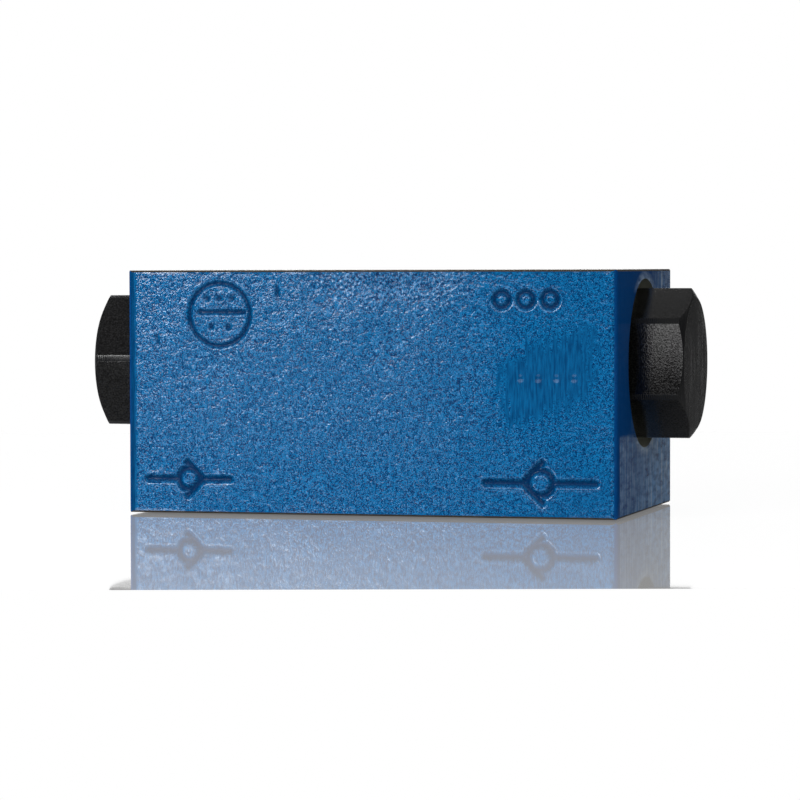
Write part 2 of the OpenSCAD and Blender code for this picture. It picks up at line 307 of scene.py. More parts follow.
@dataclass(frozen=True)
class Finish:
    """A surface, named for its real material and how it was worked.

    Attributes:
        title: Name of the material.
    """

    title: str

    def material(self) -> bpy.types.Material:
        """Makes the material, or returns it if it is there already."""
        found = bpy.data.materials.get(self.title)
        if found is not None:
            return found
        made = bpy.data.materials.new(self.title)
        made.use_nodes = True
        tree = made.node_tree
        tree.nodes.clear()
        add = partial(add_node, tree)
        add("OutputMaterial", {"Surface": self.wire(add)})
        return made

    def wire(self, add: Adder) -> Node:
        """Builds the shader and returns its last node.

        Args:
            add: The function add_node, bound to the material's tree.
        """
        raise NotImplementedError


@dataclass(frozen=True)
class EnamelOnCasting(Finish):
    """Blue enamel on sand-cast iron.

    It gives the eye a saturated semi-gloss blue that is broken up by the sand's grain, with a smooth
    place where the casting was ground before it was painted. Its colour carries painted shade in the
    grain's pits and in the marks, painted light on the crests and along the wheel's streaks, and painted
    glints as pale specks. The mesh says by its layers how strong the grain is (cast), how deep a point
    lies in a mark (sunk) and where the wheel went (ground).

    Attributes:
        pebble_share: Weight of the pebbles beside the grain.
        middle: Mean of both, which becomes level 0.
        speck_share: Weight of the specks, which are painted glints, in the colour.
        crest_span: Levels from which and up to which the colour turns from a pit's painted shade to a
            crest's painted light.
        full_cast: Strength of the grain from which it has its full painted light and shade.
        bold_span: Strengths of plain and of bold grain.
        streak_draw: Waves per millimetre along the wheel's strokes.
        streak_span: Levels of the strokes that show.
        streak_tone: Their painted light and shade, from the shaded pit colour at 0 to the lit crest colour
            at 1.
        pit_gloss: Specular level of the pits.
        crest_gloss: Specular level of the crests of plain and of bold grain.
        sunk_gloss: What a mark leaves of it.
    """

    shaded_pit_colour: str = "#03386a"
    lit_crest_colour: str = "#077cbd"
    painted_shade_colour: str = "#03305c"
    roughness: float = 0.1
    ground_roughness: float = 0.11
    speck_mm: float = 0.2
    grain_mm: float = 0.33
    pebble_mm: float = 0.7
    relief_mm: float = 0.075
    pebble_share: float = 0.7
    middle: float = 0.85
    speck_share: float = 1.75
    crest_span: Point = (0.625, 1.125)
    full_cast: float = 0.4
    bold_span: Point = (1.0, 2.0)
    streak_mm: float = 0.32
    streak_draw: float = 0.34
    streak_relief_mm: float = 0.012
    streak_span: Point = (0.35, 0.65)
    streak_tone: Point = (0.16, 0.6)
    pit_gloss: float = 0.2
    crest_gloss: Point = (0.8, 1.0)
    sunk_gloss: float = 0.15

    def wire(self, add: Adder) -> Node:
        """Builds the shader and returns its last node."""
        place = millimetres(add)
        cast, sunk, ground = (
            add("Attribute", attribute_name=name).outputs["Fac"] for name in CastHousing.masks
        )
        speck, grain, pebble = (
            add("TexNoise", {"Vector": place, "Scale": 1 / size, "Detail": detail})
            for size, detail in ((self.speck_mm, 1.0), (self.grain_mm, 2.0), (self.pebble_mm, 1.0))
        )
        height = add("Math", (pebble, self.pebble_share, grain), operation="MULTIPLY_ADD")
        level = add("Math", (height, self.middle), operation="SUBTRACT")
        masked = add("Math", (level, cast), operation="MULTIPLY")
        sand = add("Bump", {"Distance": self.relief_mm * MM, "Height": masked})
        drawn = millimetres(add, stretch=(1 / self.streak_mm, 1, self.streak_draw))
        streak = add("TexNoise", {"Vector": drawn, "Scale": 1.0, "Detail": 2.0})
        rubbed = add("Math", (streak, ground), operation="MULTIPLY")
        relief = add("Bump", {"Distance": self.streak_relief_mm * MM, "Height": rubbed, "Normal": sand})
        # The grain's height and the specks go into the colour: painted shade in the pits, painted light on
        # the crests, painted glints as specks.
        bold = add("Math", (cast, self.bold_span[0]), operation="MAXIMUM")
        swing = add("Math", (level, bold), operation="MULTIPLY")
        glints_and_shade = add("Math", (speck, self.speck_share, swing), operation="MULTIPLY_ADD")
        raised = add("MapRange", (glints_and_shade, *self.crest_span))
        shown = add("MapRange", (cast, 0.0, self.full_cast))
        # Where the grain is smooth, the wheel's streaks get painted light and shade in the colour.
        painted_streaks = add("MapRange", (streak, *self.streak_span, *self.streak_tone))
        crest = add("Mix", {0: shown, 2: painted_streaks, 3: raised}, data_type="FLOAT")
        colours = {6: srgb(self.shaded_pit_colour), 7: srgb(self.lit_crest_colour)}
        tone = add("Mix", {0: crest, **colours}, data_type="RGBA")
        # The marks, and the left end's round edges, get painted shade through the sunk layer.
        with_painted_shade = add("Mix", {0: sunk, 6: tone, 7: srgb(self.painted_shade_colour)}, data_type="RGBA")
        glint = add("MapRange", (cast, *self.bold_span, *self.crest_gloss))
        clean = add("MapRange", (crest, 0.0, 1.0, self.pit_gloss, glint))
        open_air = add("MapRange", (sunk, 0.0, 1.0, 1.0, self.sunk_gloss))
        surface = {
            "Base Color": with_painted_shade,
            "Roughness": add("MapRange", (ground, 0.0, 1.0, self.roughness, self.ground_roughness)),
            "IOR": 1.5,
            "Specular IOR Level": add("Math", (clean, open_air), operation="MULTIPLY"),
            "Normal": relief,
        }
        return add("BsdfPrincipled", surface)


@dataclass(frozen=True)
class EnamelOnMilledIron(Finish):
    """A thin coat of blue enamel on a milled face.

    It gives the eye a dark glossy blue that gets blotchy, scuffed and paler towards the back and the
    bottom, partly from scuffing and partly as painted reflection of the bright surroundings, with a pale
    lower zone that is painted reflection of the board, pale scratches, chips round the spot face and one
    pale line where the cutter's two passes meet.

    Attributes:
        blot_draw: Share of the blots' fineness that is left along Y.
        blot_span: Levels of the blots over which the coat gets thin.
        streak_draw: Share of the scratches' fineness that is left along Z.
        scratch_span: Levels of the scratches that show.
        line_y_mm: Place of the line between the passes.
        line_mm: Distances from it at which it starts and is full.
        line_share: Its strength.
        slope: How the paler, scuffed coat grows with height, beside one for each millimetre towards the
            back;
            part of it is scuffing and part painted reflection of the bright surroundings.
        lit_and_worn_mm: Values of that sum over which it goes through lit_and_worn_share.
        low_z_mm: Heights over which the lower zone, a pale painted reflection of the board, comes in.
        low_y_mm: Places along Y over which it does.
        low_share: Its painted reflection in the coat's colour.
        bite_mm: Heights off the bore's axis over which chips come in.
        bite_share: Their strength.
        chip_mm: Distances from that axis over which they come in.
        gloss: Specular level where the paler coat's mask or the lower zone is full; it falls to none where
            both are empty. gloss: Specular level of worn places; the rest faces a dark flag and gives
            none.
    """

    colour: str = "#06498a"
    thin_colour: str = "#7ab8f5"
    scuff_colour: str = "#c6def6"
    roughness: float = 0.1
    matt_roughness: float = 0.22
    relief_mm: float = 0.02
    blot_mm: float = 1.2
    blot_draw: float = 0.3
    blot_span: Point = (0.27, 0.6)
    streak_mm: float = 1.0
    streak_draw: float = 0.12
    scratch_span: Point = (0.46, 0.66)
    line_y_mm: float = 14.35
    line_mm: Point = (0.9, 0.2)
    line_share: float = 0.6
    slope: float = -0.72
    lit_and_worn_mm: Point = (-24.0, 8.0)
    lit_and_worn_share: Point = (0.01, 1.0)
    low_z_mm: Point = (13.4, 12.8)
    low_y_mm: Point = (-21.2, -20.5)
    low_share: float = 0.34
    bite_mm: Point = (11.5, 13.5)
    bite_share: float = 0.7
    chip_mm: Point = (15.6, 14.1)
    gloss: float = 0.42

    def wire(self, add: Adder) -> Node:
        """Builds the shader and returns its last node."""
        parts = add("SeparateXYZ", (millimetres(add),)).outputs
        spread = millimetres(add, stretch=(1, self.blot_draw / self.blot_mm, 1 / self.blot_mm))
        blot = add("TexNoise", {"Vector": spread, "Scale": 1.0, "Detail": 4.0, "Roughness": 0.6})
        patch = add("MapRange", (blot, *self.blot_span))
        drawn = millimetres(add, stretch=(1, 1 / self.streak_mm, self.streak_draw / self.streak_mm))
        streak = add("TexNoise", {"Vector": drawn, "Scale": 1.0, "Detail": 4.0, "Roughness": 0.65})
        scratch = add("MapRange", (streak, *self.scratch_span))
        gap = add("Math", (parts["Y"], self.line_y_mm), operation="SUBTRACT")
        width = add("Math", (gap,), operation="ABSOLUTE")
        line = add("MapRange", (width, *self.line_mm, 0.0, self.line_share))
        # The coat gets paler and scuffed towards the back and the bottom: partly scuffing, partly painted
        # reflection of the bright surroundings.
        fall = add("Math", (parts["Z"], self.slope, parts["Y"]), operation="MULTIPLY_ADD")
        lit_and_worn = add("MapRange", (fall, *self.lit_and_worn_mm, *self.lit_and_worn_share))
        # The pale lower zone in the coat's colour is painted reflection of the board.
        below = add("MapRange", (parts["Z"], *self.low_z_mm))
        behind = add("MapRange", (parts["Y"], *self.low_y_mm))
        low = add("Math", (below, behind), operation="MULTIPLY")
        low_painted_reflection = add("Math", (low, self.low_share), operation="MULTIPLY")
        lit_and_scuffed = add("Math", (lit_and_worn, low_painted_reflection), operation="MAXIMUM")
        rub = add("Math", (scratch, lit_and_scuffed), operation="MULTIPLY")
        reach = millimetres(add, stretch=(0, 1, 1), centre=(0, 0, AXIS_Z_MM))
        radius = add("VectorMath", (reach,), operation="LENGTH")
        height = add("SeparateXYZ", (reach,)).outputs["Z"]
        away = add("Math", (height,), operation="ABSOLUTE")
        bite = add("MapRange", (away, *self.bite_mm, 0.0, self.bite_share))
        chips = add("MapRange", (radius, *self.chip_mm, 0.0, bite))
        lines = add("Math", (line, chips), operation="MAXIMUM")
        marks = add("Math", (rub, lines), operation="ADD")
        broken = add("Math", (marks, patch), operation="MULTIPLY")
        thin = add("Math", (patch, lit_and_scuffed), operation="MULTIPLY")
        colours = {6: srgb(self.colour), 7: srgb(self.thin_colour)}
        coat = add("Mix", {0: thin, **colours}, data_type="RGBA")
        tone = add("Mix", {0: broken, 6: coat, 7: srgb(self.scuff_colour)}, data_type="RGBA")
        both = add("Math", (blot, streak), operation="ADD")
        open_air = add("Math", (lit_and_worn, low), operation="MAXIMUM")
        surface = {
            "Base Color": tone,
            "Roughness": add("MapRange", (thin, 0.0, 1.0, self.roughness, self.matt_roughness)),
            "IOR": 1.5,
            "Specular IOR Level": add("MapRange", (open_air, 0.0, 1.0, 0.0, self.gloss)),
            "Normal": add("Bump", {"Distance": self.relief_mm * MM, "Height": both}),
        }
        return add("BsdfPrincipled", surface)


@dataclass(frozen=True)
class BareIron(Finish):
    """Bare cast iron, milled or ground.

    It gives the eye a brownish grey metal with fine cutter marks, which shows as a thin line round the
    painted faces.
    """

    colour: str = "#8f877d"
    oxide_colour: str = "#5d554c"
    roughness: float = 0.45
    metallic: float = 1.0
    cloud_mm: float = 2.5
    mark_mm: float = 0.25
    mark_draw: float = 0.1
    relief_mm: float = 0.008

    def wire(self, add: Adder) -> Node:
        """Builds the shader and returns its last node."""
        cloud = add("TexNoise", {"Vector": millimetres(add), "Scale": 1 / self.cloud_mm, "Detail": 4.0})
        colours = {6: srgb(self.colour), 7: srgb(self.oxide_colour)}
        cut = millimetres(add, stretch=(self.mark_draw, 1 / self.mark_mm, 1 / self.mark_mm))
        mark = add("TexNoise", {"Vector": cut, "Scale": 1.0, "Detail": 2.0})
        surface = {
            "Base Color": add("Mix", {0: cloud, **colours}, data_type="RGBA"),
            "Metallic": self.metallic,
            "Roughness": self.roughness,
            "Normal": add("Bump", {"Distance": self.relief_mm * MM, "Height": mark}),
        }
        return add("BsdfPrincipled", surface)


@dataclass(frozen=True)
class PhosphatedBar(Finish):
    """Rolled hexagon bar, phosphated black.

    It gives the eye a dull black flat with a fine crystal grain that glints where light falls square on it.
    """

    colour: str = "#080809"
    glint_colour: str = "#1c1c1e"
    roughness: float = 0.12
    # Real crystals of 0.02 mm are too fine to show, so they are drawn as coarse as the bar's rolled skin.
    crystal_mm: float = 0.26
    relief_mm: float = 0.034
    glint_span: Point = (0.5, 0.75)
    gloss_span: Point = (0.35, 0.65)
    gloss: Point = (0.25, 1.0)

    def wire(self, add: Adder) -> Node:
        """Builds the shader and returns its last node."""
        size = {"Scale": 1 / self.crystal_mm, "Detail": 2.0, "Roughness": 0.6}
        crystal = add("TexNoise", {"Vector": millimetres(add), **size})
        bright = add("MapRange", (crystal, *self.glint_span))
        colours = {6: srgb(self.colour), 7: srgb(self.glint_colour)}
        surface = {
            "Base Color": add("Mix", {0: bright, **colours}, data_type="RGBA"),
            "Roughness": self.roughness,
            "IOR": 1.5,
            "Specular IOR Level": add("MapRange", (crystal, *self.gloss_span, *self.gloss)),
            "Normal": add("Bump", {"Distance": self.relief_mm * MM, "Height": crystal}),
        }
        return add("BsdfPrincipled", surface)


@dataclass(frozen=True)
class PhosphatedTurning(Finish):
    """Turned steel, phosphated black.

    It gives the eye a slightly shinier black than the bar's flats, with the lathe's feed marks as fine
    rings round the plug's axis and faint smears of oil.
    """

    colour: str = "#17181a"
    roughness: float = 0.2
    # The real feed of about 0.15 mm is too fine to show, so it is drawn about twice as coarse.
    feed_mm: float = 0.34
    relief_mm: float = 0.02
    smear_draw: Triple = (0.7, 0.8, 0.12)
    smear_span: Point = (0.3, 0.7)
    smear_share: Point = (0.6, 1.6)

    def wire(self, add: Adder) -> Node:
        """Builds the shader and returns its last node."""
        # Blender's wave has 20 radians to a unit of its scale.
        turns = 2 * math.pi / (20 * self.feed_mm)
        wave = {"Vector": millimetres(add, centre=(0, 0, AXIS_Z_MM)), "Scale": turns}
        wave |= {"Distortion": 0.6, "Detail": 2.0, "Detail Scale": 0.4}
        length = add("TexWave", wave, bands_direction="X")
        face = add("TexWave", wave, wave_type="RINGS", rings_direction="X")
        both = add("Math", (length.outputs["Fac"], face.outputs["Fac"]), operation="ADD")
        drawn = millimetres(add, stretch=self.smear_draw)
        smear = add("TexNoise", {"Vector": drawn, "Scale": 1.0, "Detail": 3.0})
        low, high = (self.roughness * share for share in self.smear_share)
        surface = {
            "Base Color": srgb(self.colour),
            "Roughness": add("MapRange", (smear, *self.smear_span, low, high)),
            "IOR": 1.5,
            "Normal": add("Bump", {"Distance": self.relief_mm * MM, "Height": both}),
        }
        return add("BsdfPrincipled", surface)


@dataclass(frozen=True)
class BrightSteel(Finish):
    """Hardened steel, ground or drawn bright.

    It gives the eye a clean neutral metal with faint marks round the axis.
    """

    colour: str = "#b4b7bb"
    roughness: float = 0.24
    # Real grinding marks of 0.01 mm are too fine to show, so they are drawn as waves of about 0.17 mm.
    mark_draw: Triple = (6, 0.5, 0.5)
    mark_share: Point = (0.8, 1.2)

    def wire(self, add: Adder) -> Node:
        """Builds the shader and returns its last node."""
        drawn = millimetres(add, stretch=self.mark_draw)
        mark = add("TexNoise", {"Vector": drawn, "Scale": 1.0, "Detail": 2.0})
        low, high = (self.roughness * share for share in self.mark_share)
        gloss = add("MapRange", (mark, 0.0, 1.0, low, high))
        return add("BsdfPrincipled", {"Base Color": srgb(self.colour), "Metallic": 1.0, "Roughness": gloss})


@dataclass(frozen=True)
class SealRubber(Finish):
    """Moulded nitrile rubber, which gives the eye a soft, slightly oily black."""

    colour: str = "#151515"
    roughness: Point = (0.4, 0.6)
    bloom_mm: float = 1.5

    def wire(self, add: Adder) -> Node:
        """Builds the shader and returns its last node."""
        bloom = add("TexNoise", {"Vector": millimetres(add), "Scale": 1 / self.bloom_mm, "Detail": 2.0})
        gloss = add("MapRange", (bloom, 0.0, 1.0, *self.roughness))
        return add("BsdfPrincipled", {"Base Color": srgb(self.colour), "Roughness": gloss, "IOR": 1.52})


@dataclass(frozen=True)
class WhiteBoard(Finish):
    """Glossy white studio board, which gives the eye plain white with a clear reflection at a flat angle.

    Attributes:
        colour: What the camera sees of it.
        bounce_colour: What it sends back of the light.
        shine: How much of its white is its own to the camera.
        coat_power: Power of the Fresnel share, which makes a thick clear coat of it.
        flat_share: Fresnel shares over which the coat comes in for the camera; the block sees all of it.
    """

    colour: str = "#ffffff"
    bounce_colour: str = "#a8a8a8"
    shine: float = 0.78
    roughness: float = 0.03
    coat_power: float = 0.6
    flat_share: Point = (0.3, 0.56)

    def wire(self, add: Adder) -> Node:
        """Builds the shader and returns its last node."""
        seen = add("LightPath").outputs["Is Camera Ray"]
        matt = add("BsdfDiffuse", {"Color": srgb(self.bounce_colour)})
        level = add("Math", (seen, self.shine), operation="MULTIPLY")
        glow = add("Emission", {"Color": srgb(self.colour), "Strength": level})
        board = add("AddShader", (matt, glow))
        gloss = add("BsdfGlossy", {"Color": (1, 1, 1, 1), "Roughness": self.roughness})
        edge = add("Fresnel", {"IOR": 1.5})
        flat = add("MapRange", (edge, *self.flat_share))
        clear = add("Math", (edge, self.coat_power), operation="POWER")
        unseen = add("Math", (1.0, seen), operation="SUBTRACT")
        kept = add("Math", (flat, unseen), operation="MAXIMUM")
        coat = add("Math", (clear, kept), operation="MULTIPLY")
        return add("MixShader", (coat, board, gloss))


ENAMEL = EnamelOnCasting("blue enamel on sand-cast iron")
MILLED = EnamelOnMilledIron("thin blue enamel on milled iron")
BARE = BareIron("bare ground cast iron")
# The cutter's fresh cut gives the eye a pale, matt ring behind the plug's head.
SPOT = BareIron(
    "bare spot-faced cast iron", colour="#d2d4c8", oxide_colour="#94978b", roughness=0.6, metallic=0.1
)
BAR = PhosphatedBar("black phosphated rolled bar")
TURNING = PhosphatedTurning("black phosphated turned steel")
GROUND_STEEL = BrightSteel("hardened ground steel")
SPRING_WIRE = BrightSteel("bright drawn spring wire", colour="#8e9197", roughness=0.3)
RUBBER = SealRubber("moulded nitrile rubber")
BOARD = WhiteBoard("glossy white studio board")


@dataclass(frozen=True)
class Line:
    """A straight stroke on the cast face, from start to end in millimetres along X and Z."""

    start: Point
    end: Point

    def gap(self, x: Grid, z: Grid) -> Grid:
        """Distance of each point from the stroke."""
        along = np.subtract(self.end, self.start)
        share = ((x - self.start[0]) * along[0] + (z - self.start[1]) * along[1]) / (along @ along)
        t = np.clip(share, 0, 1)
        return np.hypot(x - self.start[0] - t * along[0], z - self.start[1] - t * along[1])


@dataclass(frozen=True)
class Ring:
    """A round stroke on the cast face. With a radius of 0 it is a dot."""

    centre: Point
    radius: float = 0.0

    def gap(self, x: Grid, z: Grid) -> Grid:
        """Distance of each point from the stroke."""
        return np.abs(np.hypot(x - self.centre[0], z - self.centre[1]) - self.radius)


Strokes = tuple[Line | Ring, ...]


def rings(z: float, *places: float, radius: float = 0.0) -> Strokes:
    """Rings, or dots if the radius is 0, side by side at one height."""
    return tuple(Ring((x, z), radius) for x in places)


@dataclass(frozen=True)
class SunkMark:
    """A mark that is sunk into the casting, as a loose piece in the pattern leaves it.

    Attributes:
        strokes: Lines and rings that make the mark.
        half_width: Half the width of a stroke at the face.
        depth: Depth of a stroke's middle.
        lip: Height of the rim that the sand leaves beside a stroke.
        lip_at: Place and width of that rim, in half widths of the stroke.
        full_depth: Depth from which a stroke has its full painted shade.
        wall: Where a stroke's wall starts and ends, in half widths.
    """

    strokes: Strokes
    half_width: float = 0.85
    depth: float = 0.55
    lip: float = 0.03
    lip_at: Point = (1.2, 0.22)
    full_depth: float = 0.3
    wall: Point = (0.05, 1.0)

    def profile(self, x: Grid, z: Grid) -> tuple[Grid, Grid]:
        """Height of the mark over the plain face, and its painted shade from 0 to 1."""
        t = np.min([stroke.gap(x, z) for stroke in self.strokes], axis=0) / self.half_width
        sunk = 1 - smoothstep(*self.wall, t)
        place, width = self.lip_at
        height = self.lip * np.exp(-(((t - place) / width) ** 2)) - self.depth * sunk
        return height, sunk * min(1.0, self.depth / self.full_depth)


def check_symbol(left: float, right: float, middle: float, height: float, towards: int) -> Strokes:
    """Strokes of the plain drawing symbol for a check valve: a ball in a seat, with a line on both sides.

    Args:
        left: Lowest X in millimetres.
        right: Highest X.
        middle: Z of the line.
        height: Height of the seat.
        towards: 1 if the seat opens towards +X, or -1.

    Returns:
        The strokes.
    """
    ball = height * BALL_SHARE
    centre = (left + right) / 2
    tip = centre - towards * ball * math.sqrt(2)
    wing = tip + towards * height / 2
    ends = (left, right) if towards > 0 else (right, left)
    return (
        Ring((centre, middle), ball),
        Line((tip, middle), (wing, middle + height / 2)),
        Line((tip, middle), (wing, middle - height / 2)),
        Line((ends[0], middle), (tip, middle)),
        Line((centre + towards * ball, middle), (ends[1], middle)),
    )


@dataclass(frozen=True)
class GroundPatch:
    """The place on the front that was ground smooth before painting.

    Attributes:
        outline: Corners in millimetres along X and Z.
        blend: Width over which the grain comes back.
        sink: How far the wheel went below the cast face.
        ragged: How far its strokes run out at the edge.
        stroke_mm: Width of a stroke.
        stroke_spread: How much the widths differ, as a share.
        stroke_stretch: How many times longer than wide a stroke is.
        seed: Start of the random strokes.
    """

    outline: tuple[Point, ...] = (
        (23.2, 24.5), (22.8, 20.3), (23.6, 16.5), (24.8, 14.8), (29.9, 16.3), (34.6, 18.8), (37.0, 19.6),
        (38.1, 22.7), (38.4, 27.3), (37.6, 29.9), (36.3, 30.4), (33.2, 29.1), (26.9, 26.8),
    )
    blend: float = 1.6
    sink: float = 0.015
    ragged: float = 0.8
    stroke_mm: float = 0.8
    stroke_spread: float = 0.6
    stroke_stretch: float = 8.0
    seed: int = 5

    def share(self, x: Grid, z: Grid) -> Grid:
        """1 inside the patch, 0 outside, and smooth between."""
        inside = np.zeros(x.shape, bool)
        gap = np.full(x.shape, np.inf)
        for (xa, za), (xb, zb) in zip(self.outline, self.outline[1:] + self.outline[:1]):
            gap = np.minimum(gap, Line((xa, za), (xb, zb)).gap(x, z))
            crossing = (za > z) != (zb > z)
            inside ^= crossing & (x < xa + (xb - xa) * (z - za) / (zb - za if zb != za else 1))
        pitch = float(x[0, 1] - x[0, 0])
        strokes = band_noise(
            x.shape, pitch, self.stroke_mm, self.stroke_spread, self.seed, stretch=self.stroke_stretch
        )
        return smoothstep(-self.blend, self.blend, np.where(inside, gap, -gap) + self.ragged * strokes)


@dataclass(frozen=True)
class CastFace:
    """One of the two faces that stay as cast.

    Attributes:
        y_mm: Place of the face along Y.
        pitch_mm: Distance of the points that carry its relief.
        seed: Start of its random relief.
        marks: What is sunk into it.
        patch: Where it was ground smooth, if anywhere.
        sand_mm: Height of the sand's grain.
        wave_mm: Height of the long waves that the mould leaves.
        lump_mm: Height of the lumps where the sand was coarse.
        edge_mm: Width over which the relief fades at the edge.
        strip_mm: Distances from the left end over which a smooth strip gives way to the grain.
        bead_mm: Height of the bead of paint at the right end.
        bead_at: Place of that bead from the end, and its width.
        coarse_at: Middle of the coarse place along X and Z.
        coarse_size: Its width and height.
        coarse_gain: How much stronger the grain is there.
        calm_x: Places over which the grain gets weaker to the right.
        calm_right: How much weaker.
        calm_z: Heights over which it gets weaker downwards.
        calm_low: How much weaker.
        bands: Length of its waves in millimetres, how much they differ and what is added to the seed, for
            fine and coarser sand, the lumps, the swell under the grain and the mould's long waves.
        coarser_share: Weight of the coarser sand.
        swell_share: Weight of the swell.
        hump: How sharply grains stand out of the hollows between them.
    """

    y_mm: float
    pitch_mm: float
    seed: int
    marks: tuple[SunkMark, ...] = ()
    patch: GroundPatch | None = None
    sand_mm: float = 0.01
    wave_mm: float = 0.03
    lump_mm: float = 0.14
    edge_mm: float = 0.3
    strip_mm: Point = (0.3, 0.6)
    bead_mm: float = 0.05
    bead_at: Point = (0.4, 0.25)
    coarse_at: Point = (5.5, 39.5)
    coarse_size: Point = (10, 4)
    coarse_gain: float = 1.35
    calm_x: Point = (6, 38)
    calm_right: float = 0.58
    calm_z: Point = (16, 2)
    calm_low: float = 0.26
    bands: tuple[tuple[float, float, int], ...] = (
        (0.75, 0.45, 0),
        (1.4, 0.6, 3),
        (0.9, 0.4, 4),
        (3.0, 0.8, 1),
        (16.0, 0.6, 2),
    )
    coarser_share: float = 0.6
    swell_share: float = 1.2
    hump: float = 1.8

    @property
    def outward(self) -> int:
        """1 if the face looks along +Y, or -1."""
        return 1 if self.y_mm > 0 else -1

    def relief(self, x: Grid, z: Grid) -> dict[str, Grid]:
        """Heights and masks of the face.

        Args:
            x: Places along X, in a grid.
            z: Places along Z, in a grid.

        Returns:
            The height in millimetres and the masks cast, sunk and ground.
        """
        shape = x.shape
        border = np.minimum.reduce([x - x.min(), x.max() - x, z - z.min(), z.max() - z])
        fade = smoothstep(0, self.edge_mm, border)
        level = smoothstep(0, self.edge_mm, np.minimum(z - z.min(), z.max() - z))
        grainy = level * smoothstep(*self.strip_mm, x - x.min())
        (middle, top), (wide, high) = self.coarse_at, self.coarse_size
        coarse = np.exp(-(((x - middle) / wide) ** 2) - ((z - top) / high) ** 2)
        sand, coarser, lumps, swell, wave = (
            band_noise(shape, self.pitch_mm, length, spread, self.seed + step)
            for length, spread, step in self.bands
        )
        sand += self.coarser_share * coarser
        pebbles = np.log1p(np.exp(self.hump * sand)) / self.hump
        ground = self.patch.share(x, z) if self.patch else np.zeros(shape)
        rough = (1 + self.coarse_gain * coarse) * (1 - ground)
        rough *= 1 - self.calm_right * smoothstep(*self.calm_x, x)
        rough *= 1 - self.calm_low * smoothstep(*self.calm_z, z)
        grain = pebbles - pebbles.mean() + self.swell_share * swell
        height = self.sand_mm * rough * grain + self.wave_mm * wave
        height += self.lump_mm * coarse * lumps
        place, width = self.bead_at
        height += self.bead_mm * np.exp(-(((x.max() - x - place) / width) ** 2))
        sunk = np.zeros(shape)
        for mark in self.marks:
            made, shade = mark.profile(x, z)
            height = height + made
            sunk = np.maximum(sunk, shade)
        height -= ground * (self.patch.sink if self.patch else 0.0)
        return {"height": height * fade, "cast": rough * grainy, "sunk": sunk, "ground": ground * fade}


FRONT_MARKS = (
    SunkMark((Ring((-24.45, 32.76), 5.15), Line((-27.9, 33.15), (-20.2, 33.15))), half_width=0.6, depth=0.4),
    SunkMark(rings(35.4, -26.6, -24.45, -22.3) + rings(30.7, -25.9, -23.0), half_width=0.8, depth=0.36),
    SunkMark(check_symbol(-36.9, -22.8, 5.65, 5.4, -1)),
    SunkMark(check_symbol(20.5, 38.6, 5.7, 6.4, 1)),
    SunkMark(rings(35.2, 23.2, 27.2, 31.2, radius=1.25), half_width=0.7, depth=0.45),
    SunkMark(rings(22.6, 26.3, 29.2, 32.2, 35.1), half_width=0.8, depth=0.07, lip=0.01),
    SunkMark((Line((-35.3, 29.3), (-35.1, 27.9)),), half_width=0.45, depth=0.24),
    SunkMark(
        (Line((-14.6, 37.4), (-14.4, 36.6)), Line((-14.4, 36.6), (-14.5, 35.9))), half_width=0.5, depth=0.26
    ),
)


